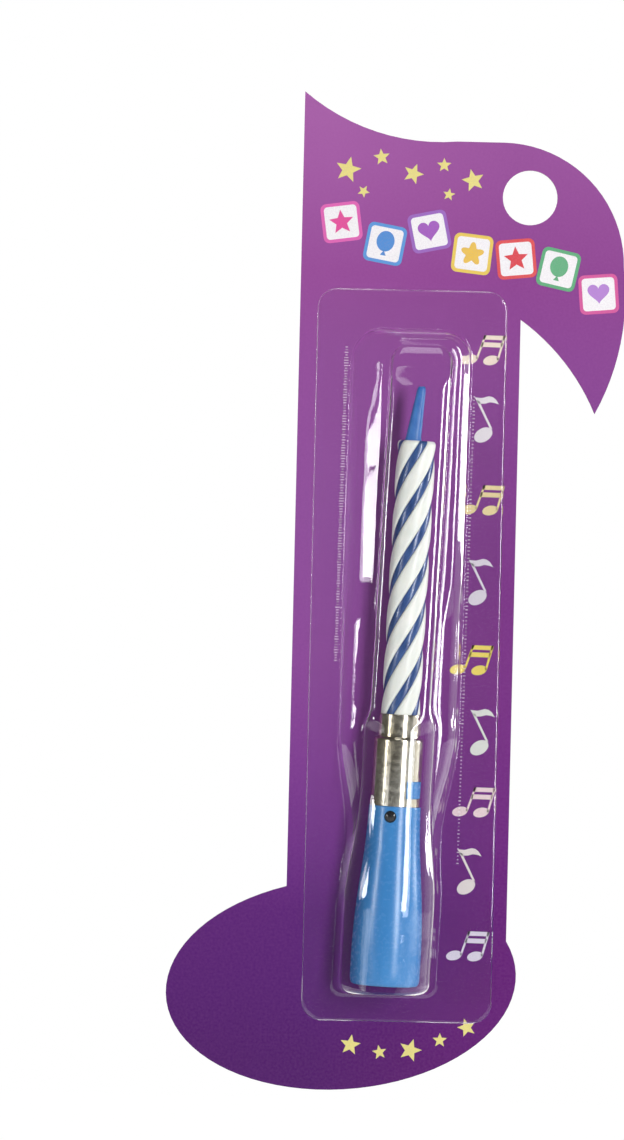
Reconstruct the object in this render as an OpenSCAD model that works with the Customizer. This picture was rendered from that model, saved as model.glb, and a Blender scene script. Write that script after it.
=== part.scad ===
// Musical birthday candle in its hanging pack: a quaver-shaped card, a clear blister,
// and a twisted wax candle in a metal ferrule on a base that plays a tune.
// Millimetres. The origin is the centre of the hang hole on the card's front face.
// +Z runs up the card and the front faces -Y.

/* [Card] */
// Thickness of the board
card_t = 0.6; // [0.4:0.1:1.2]
// Diameter of the hang hole
hang_hole_d = 8.2; // [6:0.1:9]
// Width of the stem
stem_w = 33.1; // [32.5:0.1:36]
// Right edge of the stem, left of the hang hole's centre
stem_inset = 1; // [0.5:0.1:2]
// Length of the note head
head_l = 52.6; // [48:0.1:58]
// Height of the note head
head_h = 31.6; // [28:0.1:36]
// Tilt of the note head
head_tilt = 5.5; // [0:0.5:12]
// Hang hole down to the centre of the note head
head_drop = 118.5; // [116:0.1:124]
// Right end of the note head, past the edge of the stem
head_past = 1.6; // [1:0.1:3]
// Corner at the top left, above the hang hole
tip_rise = 15.2; // [12:0.1:20]
// Straight top edge, above the hang hole
flag_top = 8.2; // [7:0.1:10]
// Farthest edge of the flag, right of the hang hole
flag_reach = 14.3; // [12:0.1:18]
// Tip of the flag, below the hang hole
flag_drop = 32.2; // [28:0.1:36]
// Tip of the flag, right of the hang hole
flag_tip = 10.4; // [8:0.1:12]
// Notch where the flag leaves the stem, below the hang hole
notch_drop = 18.3; // [16:0.1:22]

/* [Candle wax] */
// Diameter over the white bands
wax_d = 5.8; // [5.2:0.05:6.2]
// Length of wax above the ferrule
wax_l = 40.8; // [30:0.1:44]
// Height of one full turn of the twist
wax_lead = 28.6; // [20:0.1:40]
// Turn of the first navy strip at the foot of the wax
strip_turn = 2; // [0:0.1:45]
// Number of navy strips
strips = 4; // [3:1:6]
// Share of the girth that is navy
strip_share = 0.34; // [0.2:0.02:0.5]
// Depth of the flutes
flute_depth = 0.6; // [0.4:0.05:0.8]
// Diameter of the wick
wick_d = 0.84; // [0.6:0.02:1]
// Length of the coated wick above the wax
wick_l = 8.4; // [5:0.1:9]
// Width of the coated wick at its foot
wick_foot_d = 2.4; // [2.2:0.1:2.6]
// Width of the coated wick at its tip
wick_tip_d = 1.2; // [1.1:0.05:1.6]

/* [Ferrule] */
// Diameter of the lower sleeve
sleeve_d = 7.36; // [7.1:0.02:7.6]
// Height of the lower sleeve
sleeve_h = 10.2; // [8:0.1:11]
// Height of the upper collar
collar_h = 3.5; // [3:0.1:5]
// Thickness of the sheet metal
sheet_t = 0.2; // [0.15:0.01:0.24]
// Width of the window
window_w = 3.7; // [3:0.1:4.4]
// Height of the window
window_h = 2.6; // [2:0.1:3.2]
// Strip of metal under the window
window_sill = 1.25; // [1:0.05:2]
// Middle of the window, right of the front
window_turn = 54; // [30:1:80]

/* [Base] */
// Diameter of the foot
base_d = 10.4; // [10.2:0.1:11]
// Height of the base below the ferrule
base_h = 26.7; // [26:0.1:29]
// Height of the straight foot
foot_h = 8.6; // [8:0.1:9.5]
// Diameter at the top of the flare
flare_top_d = 7.68; // [7.6:0.02:8.2]
// Radius of the bottom edge
base_edge = 0.6; // [0.3:0.05:0.7]
// Diameter of the sensor's lens
lens_d = 1.7; // [1.4:0.1:2]
// Sensor's lens below the ferrule
lens_drop = 1.5; // [1.4:0.1:2]
// Sensor's lens, left of the front
lens_turn = 10; // [0:1:30]

/* [Sound and power] */
// Diameter of a button cell
cell_d = 7.9; // [7.8:0.05:7.95]
// Height of a button cell
cell_h = 3.6; // [3.2:0.1:3.7]
// Height of the spring under the cells
spring_h = 1.5; // [1.2:0.1:1.6]
// Wire of that spring
spring_wire = 0.35; // [0.3:0.01:0.4]
// Thickness of the buzzer's brass plate
buzzer_t = 0.2; // [0.1:0.05:0.3]
// Diameter of the buzzer's ceramic
ceramic_d = 5.8; // [5:0.1:6.2]
// Thickness of the circuit board
board_t = 0.8; // [0.6:0.1:1]
// Top of the circuit board, below the sensor's lens
board_drop = 2; // [1.6:0.1:2.4]
// Diameter of the hollow round the board
hollow_d = 5.7; // [5.6:0.02:5.8]
// Diameter of an insulated wire
wire_d = 0.4; // [0.3:0.02:0.44]

/* [Blister] */
// Thickness of the clear sheet
blister_t = 0.3; // [0.2:0.02:0.35]
// Width of the flange
flange_w = 28.7; // [26:0.1:30]
// Top edge of the flange, below the hang hole
flange_drop = 14.2; // [12:0.1:16]
// Flange below the dome
flange_foot = 3.3; // [2:0.1:4]
// Width of the dome where it meets the flange
dome_w = 18.6; // [17.8:0.1:20]
// Room between the candle and the sides of the ridge over it
ridge_room = 1.7; // [1.5:0.1:2]
// Height of the shoulder on which the ridge stands
shoulder_h = 5.4; // [4.8:0.1:6]
// Headroom over the wick
headroom = 6; // [5.4:0.1:8]
// Lean of the dome to the right
dome_lean = 0.7; // [0:0.1:1.5]

/* [Place in the pack] */
// Foot of the candle, left of the hang hole
candle_left = 19.2; // [18.4:0.1:19.2]
// Foot of the candle, below the hang hole
candle_drop = 118.1; // [116:0.1:121]
// Lean of the candle to the right
candle_lean = 2.1; // [0:0.1:2.6]
// Gap between the base and the card, and between the candle and the blister
pack_gap = 0.3; // [0.2:0.02:0.5]

/* [Hidden] */
$fn = 64;

// Clearances
slip = 0.05;        // round pieces that slide or drop into each other
snug = 0.03;        // wax and cotton laid in wax
over = 1;           // how far a cut runs past a face

// Candle, from its foot up
base_r = base_d / 2;
sleeve_r = sleeve_d / 2;
neck_r = sleeve_r - sheet_t - slip;
wax_r = wax_d / 2;
collar_in_r = wax_r + slip;
collar_r = collar_in_r + sheet_t;
collar_z = base_h + sleeve_h;
neck_rim = 0.5;
neck_z = collar_z - sheet_t - neck_rim / 2;
ferrule_z = collar_z + collar_h;
wax_top = ferrule_z + wax_l;
wick_top = wax_top + wick_l;
wick_r = wick_d / 2;
tip_wick_r = wick_r * 0.86;
wick_foot_x = -0.6;
wick_tip_x = 0.3;
coating_over_tip = 0.5;
coating_lean = atan((wick_tip_x - wick_foot_x) / wick_l);
wick_tip_lean = atan(wick_tip_x / wick_l);

// Inside of the base, from its foot up
plug_sunk = 0.25;
plug_flange_t = 0.7;
plug_flange_r = base_r - base_edge - slip;
plug_rim_t = 0.65;
plug_floor_t = 1.4;
plug_rim_z = plug_sunk + plug_flange_t + plug_floor_t;
ceramic_t = 0.15;
buzzer_z = plug_rim_z + ceramic_t + wire_d + slip;
spring_z = buzzer_z + buzzer_t;
cell_z = spring_z + spring_h;
cell_r = cell_d / 2;
bore_r = cell_r + 2 * slip;
contact_t = 0.2;
contact_z = cell_z + 2 * cell_h;
shelf_z = contact_z + contact_t;
hollow_r = hollow_d / 2;
board_z = shelf_z + slip;
board_top = base_h - lens_drop - board_drop;
board_h = board_top - board_z;
board_w = 2 * (sqrt(hollow_r * hollow_r - board_t * board_t / 4) - snug);
lens_z = base_h - lens_drop;
lens_r = lens_d / 2;
hollow_top = base_h + 0.4;
core_r = wax_r - neck_rim;
core_z = hollow_top + 1;

// Wires beside the cells, each in its own channel
wire_r = wire_d / 2;
wire_y = -(board_t / 2 + wire_r + snug);
channel_r = wire_r + 2 * slip;
channel_x = sqrt(pow(bore_r + wire_r, 2) - wire_y * wire_y);
wire_turn_z = shelf_z + channel_r + slip;
wire_end_x = board_w / 2 - 1;

// Blister, heights are out of the card's front face
axis_out = base_r + pack_gap;
cover = pack_gap + blister_t;
crown_wax_h = axis_out + wax_r + cover;
crown_sleeve_h = axis_out + sleeve_r + cover;
crown_foot_h = axis_out + base_r + cover;
dome_corner = 4.5;
dome_foot_corner = 1.6;
dome_run = 2.4;
dome_foot_run = 1.2;
dome_mid_z = -70;
ridge_flat = 0.3;
ridge_end = 0.6;
flange_corner = 3;
foot_z = -candle_drop;
dome_x = -(stem_inset + stem_w / 2 + 0.25);
flange_x = -(stem_inset + stem_w / 2 - 0.2);
ridge_top = foot_z + wick_top + headroom;
ridge_bottom = foot_z - base_r * sin(candle_lean) - cover - ridge_end;
dome_bottom = ridge_bottom - dome_foot_run;

// Points on an arc from a to b whose middle stands off the chord by bulge, to the left of travel
function arc(a, b, bulge, steps = 12) =
    let (chord = b - a)
    let (half = norm(chord) / 2)
    let (left = [-chord.y, chord.x] / (2 * half))
    let (radius = (half * half + bulge * bulge) / (2 * abs(bulge)))
    let (way = sign(bulge))
    let (middle = (a + b) / 2 + left * way * (abs(bulge) - radius))
    let (start = atan2(a.y - middle.y, a.x - middle.x))
    let (sweep = 2 * asin(half / radius))
    [for (i = [0 : steps - 1])
        middle + radius * [cos(start - way * sweep * i / steps), sin(start - way * sweep * i / steps)]];

// A tilted ellipse: its points from one turn to another, and the upper turn where it crosses x
function ellipse(centre, length, height, tilt, start, end, steps = 60) =
    [for (i = [0 : steps])
        let (turn = start + (end - start) * i / steps)
        let (along = length / 2 * cos(turn))
        let (across = height / 2 * sin(turn))
        centre + [along * cos(tilt) - across * sin(tilt), along * sin(tilt) + across * cos(tilt)]];
function ellipse_reach(length, height, tilt) = [length / 2 * cos(tilt), height / 2 * sin(tilt)];
function ellipse_turn(centre, reach, x) = acos((x - centre.x) / norm(reach)) - atan2(reach.y, reach.x);

// A step from 0 to 1 that starts and ends level
function ease(t) = t <= 0 ? 0 : t >= 1 ? 1 : t * t * (3 - 2 * t);

// Faces of a skin over rings of equal length, each ring a list of points
function skin_faces(rings, points) =
    [for (r = [0 : rings - 2], i = [0 : points - 1])
        let (j = (i + 1) % points)
        let (low = r * points)
        let (high = low + points)
        each [[low + i, low + j, high + j], [low + i, high + j, high + i]]];

// A round wire along a path that never runs parallel to the direction called upright
module wire(path, diameter, upright, sides = 8) {
    last = len(path) - 1;
    points = [for (i = [0 : last])
        let (ahead = path[min(i + 1, last)] - path[max(i - 1, 0)])
        let (across = cross(ahead, upright) / norm(cross(ahead, upright)))
        let (third = cross(across, ahead) / norm(ahead))
        for (s = [0 : sides - 1])
            path[i] + diameter / 2 * (across * cos(360 * s / sides) + third * sin(360 * s / sides))];
    start_cap = [[for (s = [0 : sides - 1]) sides - 1 - s]];
    end_cap = [[for (s = [0 : sides - 1]) last * sides + s]];
    polyhedron(points, concat(start_cap, skin_faces(last + 1, sides), end_cap));
}

// Places the candle in the pack: its own foot is at z = 0, on its axis
module in_pack() {
    translate([-candle_left, -axis_out, foot_z]) rotate([0, candle_lean, 0]) children();
}

// A block that points out of the candle's axis, turned right of the front
module pointing(turn, width, height, inner, outer) {
    rotate([0, 0, turn]) translate([-width / 2, -outer, 0]) cube([width, outer - inner, height]);
}

// Card: down the flag and the right of the stem, round the head, and up the left of the stem
module card_outline() {
    stem_right = -stem_inset;
    stem_left = stem_right - stem_w;
    top_tip = [stem_left, tip_rise];
    top_start = [-hang_hole_d * 1.35, flag_top];
    top_end = [-hang_hole_d / 2, flag_top];
    shoulder = [flag_reach, flag_top - (flag_reach - top_end.x)];
    shoulder_bulge = (flag_reach - top_end.x) * (1 - cos(45));
    tip = [flag_tip, -flag_drop];
    notch = [stem_right, -notch_drop];
    head_reach = ellipse_reach(head_l, head_h, head_tilt);
    head = [stem_right + head_past - norm(head_reach), -head_drop];
    head_start = ellipse_turn(head, head_reach, stem_right);
    head_end = ellipse_turn(head, head_reach, stem_left) - 360;
    polygon(concat(
        arc(top_tip, top_start, -2.4),
        [top_start],
        arc(top_end, shoulder, shoulder_bulge, 20),
        arc(shoulder, tip, 1.75),
        arc(tip, notch, -1.25),
        [notch],
        ellipse(head, head_l, head_h, head_tilt, head_start, head_end)));
}

module backing_card() {
    color("purple") difference() {
        translate([0, card_t, 0]) rotate([90, 0, 0]) linear_extrude(card_t) card_outline();
        rotate([90, 0, 0]) cylinder(d = hang_hole_d, h = 2 * card_t + over, center = true);
    }
}

// Blister: a wide shoulder, and a ridge on it that follows the candle and grows with it
function to_sleeve(z) = ease((foot_z + ferrule_z + 1.2 - z) / 3.6);
function to_foot(z) = ease((foot_z + base_h + 2.3 - z) / (base_h + 2.3 - foot_h - 2.4));
function grow(z, wax, sleeve, foot) = wax + (sleeve - wax) * to_sleeve(z) + (foot - sleeve) * to_foot(z);
function ridge_half(z) = grow(z, wax_r, sleeve_r, base_r) + ridge_room;
function crown_h(z) = grow(z, crown_wax_h, crown_sleeve_h, crown_foot_h);
function ridge_x(z) = (z - foot_z) * tan(candle_lean) - candle_left;
function dome_foot_x(z) = dome_x + (z - dome_mid_z) * tan(dome_lean);

// One side of a round-cornered ring from its top to its bottom: half widths and heights
corner_steps = 5;
side_steps = 34;
function ring_side(top, bottom, round_top, round_bottom, half) =
    let (high = top - round_top)
    let (low = bottom + round_bottom)
    concat(
        [for (k = [0 : corner_steps - 1])
            let (turn = 90 * k / corner_steps)
            [half(high) - round_top * (1 - sin(turn)), high + round_top * cos(turn)]],
        [for (k = [0 : side_steps])
            let (z = high + (low - high) * k / side_steps)
            [half(z), z]],
        [for (k = [1 : corner_steps])
            let (turn = 90 * k / corner_steps)
            [half(low) - round_bottom * (1 - cos(turn)), low - round_bottom * sin(turn)]]
    );

// A whole ring: right side down, left side up, at heights out of the card
function ring(side, middle, height) =
    concat(
        [for (p = side) [middle(p.y) + p.x, -height(p.y), p.y]],
        [for (i = [len(side) - 1 : -1 : 0]) [middle(side[i].y) - side[i].x, -height(side[i].y), side[i].y]]
    );

// One ring of the dome, drawn in by an inset. Its four shares are how far it lies out at the foot,
// how wide it is on the ridge, how high up the shoulder, and how high up the ridge.
function dome_ring(out, wide, up, over_ridge, inset) =
    let (end_half = wax_r + ridge_room)
    let (top = ridge_top + dome_run * out - (1 - wide) * end_half - inset)
    let (bottom = ridge_bottom - dome_foot_run * out + (1 - wide) * ridge_end + inset)
    let (round_top = (1 - out) * 0.9 * wide * end_half + out * dome_corner - inset)
    ring(
        ring_side(top, bottom, round_top, dome_foot_corner - inset,
            function(z) wide * ridge_half(z) + out * (dome_w / 2 - ridge_half(z)) - inset),
        function(z) ridge_x(z) + out * (dome_foot_x(z) - ridge_x(z)),
        function(z) blister_t + (shoulder_h - blister_t) * up + (crown_h(z) - shoulder_h) * over_ridge - inset);

// Rings of one face of the dome, from the flange over the shoulder to the top of the ridge.
// A straight slope joins the two, so that the dome is nowhere hollow from outside.
shoulder_turns = [0, 30, 60];
ridge_turns = [45, 70, 90];
function dome_rings(inset) =
    concat(
        [for (turn = shoulder_turns) dome_ring(cos(turn), 1, sin(turn), 0, inset)],
        [for (turn = ridge_turns)
            dome_ring(0, ridge_flat + (1 - ridge_flat) * cos(turn), 1, sin(turn), inset)]
    );

function flange_ring(height) =
    ring(
        ring_side(-flange_drop, dome_bottom - flange_foot, flange_corner, flange_corner,
            function(z) flange_w / 2),
        function(z) flange_x, function(z) height);

module blister() {
    outer = concat([flange_ring(0), flange_ring(blister_t)], dome_rings(0));
    inner = dome_rings(blister_t);
    inward = [for (i = [len(inner) - 1 : -1 : 0]) inner[i]];
    points = len(outer[0]);
    side = points / 2;
    rows = [for (i = [0 : side - 2]) [i, i + 1, points - 2 - i, points - 1 - i]];
    outer_start = (len(outer) - 1) * points;
    inner_start = len(outer) * points;
    outer_crown = [for (q = rows) each [
        [outer_start + q[0], outer_start + q[1], outer_start + q[2]],
        [outer_start + q[0], outer_start + q[2], outer_start + q[3]]]];
    inner_crown = [for (q = rows) each [
        [inner_start + q[2], inner_start + q[1], inner_start + q[0]],
        [inner_start + q[3], inner_start + q[2], inner_start + q[0]]]];
    outer_skin = skin_faces(len(outer), points);
    inner_skin = [for (f = skin_faces(len(inner), points)) f + [inner_start, inner_start, inner_start]];
    back = inner_start + (len(inner) - 1) * points;
    underside = [for (i = [0 : points - 1])
        let (j = (i + 1) % points)
        each [[back + i, back + j, j], [back + i, j, i]]];
    color("lightcyan", 0.3) polyhedron(
        [for (r = concat(outer, inward)) each r],
        concat(outer_skin, outer_crown, inner_crown, inner_skin, underside));
}

// Section of the wax: white bands that round off towards the flutes, and flutes that hold the strips
sector = 360 / strips;
flute_half = sector * strip_share / 2;
flute_r = wax_r - flute_depth;
band_drop = flute_depth * 0.3;
function polar(r, turn) = r * [cos(turn), sin(turn)];

module wax_section() {
    band_half = sector / 2 - flute_half;
    difference() {
        polygon([for (k = [0 : strips - 1]) each concat(
            [for (t = [-1, 0, 1]) polar(flute_r, k * sector + t * flute_half)],
            [for (t = [-1, -0.5, 0, 0.5, 1])
                polar(wax_r - band_drop * t * t, (k + 0.5) * sector + t * band_half)])]);
        circle(r = wick_r + snug + slip, $fn = 12);
    }
}

module strip_section() {
    strip_half = flute_half - atan(snug / flute_r);
    strip_r = wax_r - band_drop * 1.6;
    for (k = [0 : strips - 1])
        polygon(concat(
            [for (t = [-1, 0, 1]) polar(flute_r + snug, k * sector + t * strip_half)],
            [for (t = [1, 0, -1]) polar(strip_r, k * sector + t * strip_half)]));
}

// Twists a section along the candle, from the seat in the ferrule to the top of the wax
module twist_up() {
    length = wax_top - neck_z;
    translate([0, 0, neck_z]) rotate(strip_turn)
        linear_extrude(height = length, twist = -360 * length / wax_lead, slices = 48, segments = 0)
            children();
}

module candle_body() {
    color("ivory") in_pack() twist_up() wax_section();
}

module candle_stripes() {
    color("navy") in_pack() twist_up() strip_section();
}

// Wick: straight through the wax, then leaning a little in its coating
module wick_shape(gap) {
    translate([0, 0, neck_z + neck_rim]) cylinder(r = wick_r + gap, h = wax_top - neck_z - neck_rim);
    translate([0, 0, wax_top]) rotate([0, wick_tip_lean, 0])
        translate([0, 0, -wick_r * sin(wick_tip_lean)])
            cylinder(r = tip_wick_r + gap, h = wick_l - coating_over_tip + gap);
}

module wick() {
    color("beige") in_pack() wick_shape(0);
}

module wick_coating() {
    color("dodgerblue") in_pack() difference() {
        translate([wick_foot_x, 0, wax_top]) rotate([0, coating_lean, 0])
            cylinder(d1 = wick_foot_d, d2 = wick_tip_d, h = wick_l);
        translate([-base_r, -base_r, wax_top - over]) cube([base_d, base_d, over]);
        wick_shape(snug);
    }
}

// Ferrule: one drawn sleeve, stepped in from the base to the candle, with a window for the neck's lug
module ferrule() {
    fold = sheet_t;
    color("silver") in_pack() difference() {
        rotate_extrude() polygon(concat(
            [[sleeve_r - sheet_t, base_h], [sleeve_r, base_h], [sleeve_r, collar_z - fold]],
            [[sleeve_r - fold, collar_z], [collar_r + fold, collar_z], [collar_r, collar_z + fold]],
            [[collar_r, ferrule_z - fold / 2], [collar_r - fold / 2, ferrule_z]],
            [[collar_in_r, ferrule_z], [collar_in_r, collar_z - sheet_t]],
            [[sleeve_r - sheet_t, collar_z - sheet_t]]));
        translate([0, 0, base_h + window_sill])
            pointing(window_turn, window_w, window_h, 0, sleeve_r + over);
    }
}

// Base: a revolved bottle shape with a neck, hollowed for the cells and the circuit board
function flare_r(z) =
    flare_top_d / 2 + (base_r - flare_top_d / 2) * (1 + cos(180 * (z - foot_h) / (base_h - foot_h))) / 2;

module base_shape() {
    edge = [for (turn = [-90 : 15 : 0])
        [base_r - base_edge + base_edge * cos(turn), base_edge + base_edge * sin(turn)]];
    flare_steps = 18;
    flare = [for (k = [0 : flare_steps])
        let (z = foot_h + (base_h - foot_h) * k / flare_steps)
        [flare_r(z), z]];
    rotate_extrude() polygon(concat([[0, 0]], edge, flare,
        [[neck_r, base_h], [neck_r, neck_z], [0, neck_z]]));
    translate([0, 0, base_h + window_sill + slip]) intersection() {
        pointing(window_turn, window_w - 2 * slip, window_h - 2 * slip, 0, base_r);
        cylinder(r = sleeve_r - snug, h = window_h);
    }
}

module base_housing() {
    color("royalblue") in_pack() difference() {
        base_shape();
        translate([0, 0, -over]) cylinder(r = plug_flange_r + slip, h = plug_sunk + plug_flange_t + over);
        cylinder(r = bore_r, h = shelf_z);
        cylinder(r = hollow_r, h = hollow_top);
        translate([0, 0, core_z]) cylinder(r = core_r, h = neck_z);
        for (side = [-1, 1]) {
            translate([side * channel_x, wire_y, plug_sunk + plug_flange_t])
                cylinder(r = channel_r, h = wire_turn_z + channel_r - plug_sunk - plug_flange_t);
            translate([side * channel_x / 2 - channel_x / 2, wire_y - channel_r, wire_turn_z - channel_r])
                cube([channel_x, 2 * channel_r, 2 * channel_r]);
        }
        translate([0, 0, lens_z]) rotate([0, 0, -lens_turn]) rotate([90, 0, 0])
            cylinder(r = lens_r + slip, h = base_r);
    }
}

// Plug: a disc snapped into the foot, with sound holes and a rim that carries the buzzer
module base_plug() {
    hole_d = 0.9;
    holes = 6;
    hole_ring = cell_r * 0.5;
    rim_in = cell_r - plug_rim_t;
    color("mediumblue") in_pack() difference() {
        union() {
            translate([0, 0, plug_sunk]) cylinder(r = plug_flange_r, h = plug_flange_t);
            translate([0, 0, plug_sunk]) cylinder(r = cell_r, h = buzzer_z - plug_sunk);
        }
        translate([0, 0, plug_rim_z]) cylinder(r = rim_in, h = over);
        cylinder(d = hole_d, h = buzzer_z);
        for (k = [0 : holes - 1]) rotate([0, 0, 360 * k / holes])
            translate([hole_ring, 0, 0]) cylinder(d = hole_d, h = buzzer_z);
        translate([-base_r, wire_y - channel_r, plug_rim_z]) cube([base_r, 2 * channel_r, over]);
    }
}

// Sensor: a dark lens in the wall of the base, domed outside, with a collar inside
lens_collar = 0.25;
lens_collar_out = hollow_r - lens_collar;
lens_back = lens_collar_out - 0.6;

module flame_sensor() {
    lens_out = flare_r(lens_z) + slip;
    dome = lens_r * 0.4;
    collar = lens_r + lens_collar;
    color("black") in_pack() translate([0, 0, lens_z]) rotate([0, 0, -lens_turn]) rotate([90, 0, 0])
        rotate_extrude() polygon(concat(
            [[0, lens_back], [collar, lens_back], [collar, lens_collar_out], [lens_r, lens_collar_out]],
            [for (t = [0 : 15 : 90]) [lens_r * cos(t), lens_out - dome + dome * sin(t)]]));
}

// Sensor's two legs, from its collar down the front of the circuit board
module sensor_leads() {
    leg_d = 0.25;
    leg_x = 0.35;
    leg_l = 1.6;
    bend = 0.4;
    leg_y = -(board_t / 2 + leg_d / 2 + snug);
    color("gainsboro") in_pack() for (side = [-1, 1]) {
        x = side * leg_x;
        start_y = snug - (lens_back + (x - leg_d / 2) * sin(lens_turn)) / cos(lens_turn);
        middle = [x, leg_y - bend, lens_z - bend];
        wire(concat(
            [[x, start_y, lens_z]],
            [for (t = [90 : -30 : 0]) middle + bend * [0, cos(t), sin(t)]],
            [[x, leg_y, board_top - leg_l]]), leg_d, [1, 0, 0]);
    }
}

module circuit_board() {
    color("darkgreen") in_pack() translate([-board_w / 2, -board_t / 2, board_z])
        cube([board_w, board_t, board_h]);
}

// Places a part on the front or the back of the board, its own z pointing out of the board
module on_board(z, back = false) {
    translate([0, 0, board_z + z]) rotate([0, 0, back ? 180 : 0]) translate([0, -board_t / 2, 0])
        rotate([90, 0, 0]) children();
}

module melody_chip() {
    spread = 1.7;
    rise = 0.8;
    round_r = (spread * spread + rise * rise) / (2 * rise);
    color("black") in_pack() on_board(board_h * 0.42) difference() {
        translate([0, 0, rise - round_r]) sphere(r = round_r);
        translate([-round_r, -round_r, -2 * round_r]) cube(2 * round_r);
    }
}

module drive_transistor() {
    body = [2.4, 1.2, 0.9];
    leg = [0.4, 0.5, 0.2];
    color("dimgray") in_pack() on_board(board_h * 0.72) union() {
        translate([-body.x / 2, -body.y / 2, leg.z / 2]) cube([body.x, body.y, body.z]);
        for (p = [[-0.7, -1], [0.7, -1], [0, 1]])
            translate([p.x - leg.x / 2, p.y * (body.y + leg.y) / 2 - leg.y / 2, 0]) cube(leg + [0, 0.1, 0]);
    }
}

module bias_resistor() {
    body = [1.6, 0.8, 0.45];
    color("saddlebrown") in_pack() on_board(board_h * 0.68, true)
        translate([-body.x / 2, -body.y / 2, 0]) cube(body);
}

module buzzer_disc() {
    color("goldenrod") in_pack() translate([0, 0, buzzer_z]) cylinder(r = cell_r, h = buzzer_t);
}

module buzzer_ceramic() {
    color("whitesmoke") in_pack() translate([0, 0, buzzer_z - ceramic_t]) cylinder(d = ceramic_d, h = ceramic_t);
}

// A buzzer wire: out along the buzzer, up its channel, and in along the board
module buzzer_lead(side, start_x, start_z) {
    bend = 0.5;
    low = [side * (channel_x - bend), wire_y, start_z + bend];
    high = [side * (channel_x - bend), wire_y, wire_turn_z - bend];
    in_pack() wire(concat(
        [[side * start_x, wire_y, start_z]],
        [for (t = [-90 : 30 : 0]) low + bend * [side * cos(t), 0, sin(t)]],
        [for (t = [0 : 30 : 90]) high + bend * [side * cos(t), 0, sin(t)]],
        [[side * wire_end_x, wire_y, wire_turn_z]]), wire_d, [0, 1, 0]);
}

module buzzer_lead_red() {
    color("red") buzzer_lead(-1, ceramic_d / 2 - 0.8, buzzer_z - ceramic_t - wire_r);
}

module buzzer_lead_black() {
    color("black") buzzer_lead(1, cell_r - 1.2, spring_z + wire_r);
}

// Spring: a cone of wire between the buzzer's brass plate and the lower cell
module negative_spring() {
    turns = 2;
    wide_r = 2.2;
    narrow_r = 1.1;
    steps = 24;
    rise = spring_h - spring_wire;
    color("silver") in_pack() translate([0, 0, spring_z + spring_wire / 2])
        wire([for (k = [0 : turns * steps])
            let (t = k / (turns * steps))
            let (r = wide_r + (narrow_r - wide_r) * t)
            [r * cos(360 * turns * t), r * sin(360 * turns * t), rise * t]],
            spring_wire, [0, 0, 1], 6);
}

// Button cell: negative cap below, can above
module cell(z) {
    cap_h = 0.3;
    cap_r = cell_r * 0.78;
    edge = 0.25;
    color("lightgray") in_pack() translate([0, 0, z]) rotate_extrude() polygon([
        [0, 0], [cap_r - edge, 0], [cap_r, edge], [cap_r, cap_h], [cell_r - edge, cap_h],
        [cell_r, cap_h + edge], [cell_r, cell_h - edge], [cell_r - edge, cell_h], [0, cell_h]]);
}

module cell_lower() {
    cell(cell_z);
}

module cell_upper() {
    cell(cell_z + cell_h);
}

// Contact: a plate under the shelf of the base, with a tongue up the back of the board
module positive_contact() {
    tongue_w = 1.6;
    tongue_h = 3;
    color("silver") in_pack() union() {
        translate([0, 0, contact_z]) cylinder(r = cell_r - 2 * contact_t, h = contact_t);
        translate([-tongue_w / 2, board_t / 2, contact_z]) cube([tongue_w, contact_t, tongue_h]);
    }
}

backing_card();
blister();
candle_body();
candle_stripes();
wick();
wick_coating();
ferrule();
base_housing();
base_plug();
flame_sensor();
sensor_leads();
circuit_board();
melody_chip();
drive_transistor();
bias_resistor();
buzzer_disc();
buzzer_ceramic();
buzzer_lead_red();
buzzer_lead_black();
negative_spring();
cell_lower();
cell_upper();
positive_contact();
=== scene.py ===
import math

import bmesh
import bpy
from mathutils import Matrix, Vector, noise


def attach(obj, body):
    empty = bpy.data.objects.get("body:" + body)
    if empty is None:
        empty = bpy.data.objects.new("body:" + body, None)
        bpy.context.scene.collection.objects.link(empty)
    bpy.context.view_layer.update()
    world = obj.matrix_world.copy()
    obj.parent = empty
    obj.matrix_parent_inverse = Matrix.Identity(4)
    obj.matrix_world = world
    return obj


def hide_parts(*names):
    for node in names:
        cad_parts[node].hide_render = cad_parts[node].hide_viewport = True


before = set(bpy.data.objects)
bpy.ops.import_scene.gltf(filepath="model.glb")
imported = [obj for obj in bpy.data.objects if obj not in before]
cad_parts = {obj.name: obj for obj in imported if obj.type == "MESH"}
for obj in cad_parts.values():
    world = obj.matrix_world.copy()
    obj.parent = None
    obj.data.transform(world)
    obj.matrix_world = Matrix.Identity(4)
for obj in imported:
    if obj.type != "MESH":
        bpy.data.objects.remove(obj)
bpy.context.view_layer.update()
MM = 0.001


# View: the pack is seen straight on from 0.9 m, hanging before a plain white ground.
# The camera is rolled a little, because the card leans in the picture.
view_angle = math.radians(10.85)
view_right = (0.99972, 0.0, 0.02356)
view_up = (-0.02356, 0.0, 0.99972)
view_back = (0.0, -1.0, 0.0)
view_place = (-0.0314, -0.9, -0.05655)

camera_data = bpy.data.cameras.new("camera")
camera_data.sensor_fit = "VERTICAL"
camera_data.angle = view_angle
camera_data.clip_start = 0.01
camera = bpy.data.objects.new("camera", camera_data)
bpy.context.collection.objects.link(camera)
camera.matrix_world = Matrix(list(zip(view_right, view_up, view_back, view_place)) + [(0, 0, 0, 1)])
bpy.context.scene.camera = camera
bpy.context.scene.view_settings.view_transform = "Standard"


# Lamps: a key box right of the front, a low one on the left that draws the streak over the base, a
# weak one far right, two above and one for the card's back. Two small bright boxes draw the crisp
# streaks on the shoulders of the clear sheet.
lamp_aim = Vector((-0.018, 0.0, -0.06))


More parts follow.
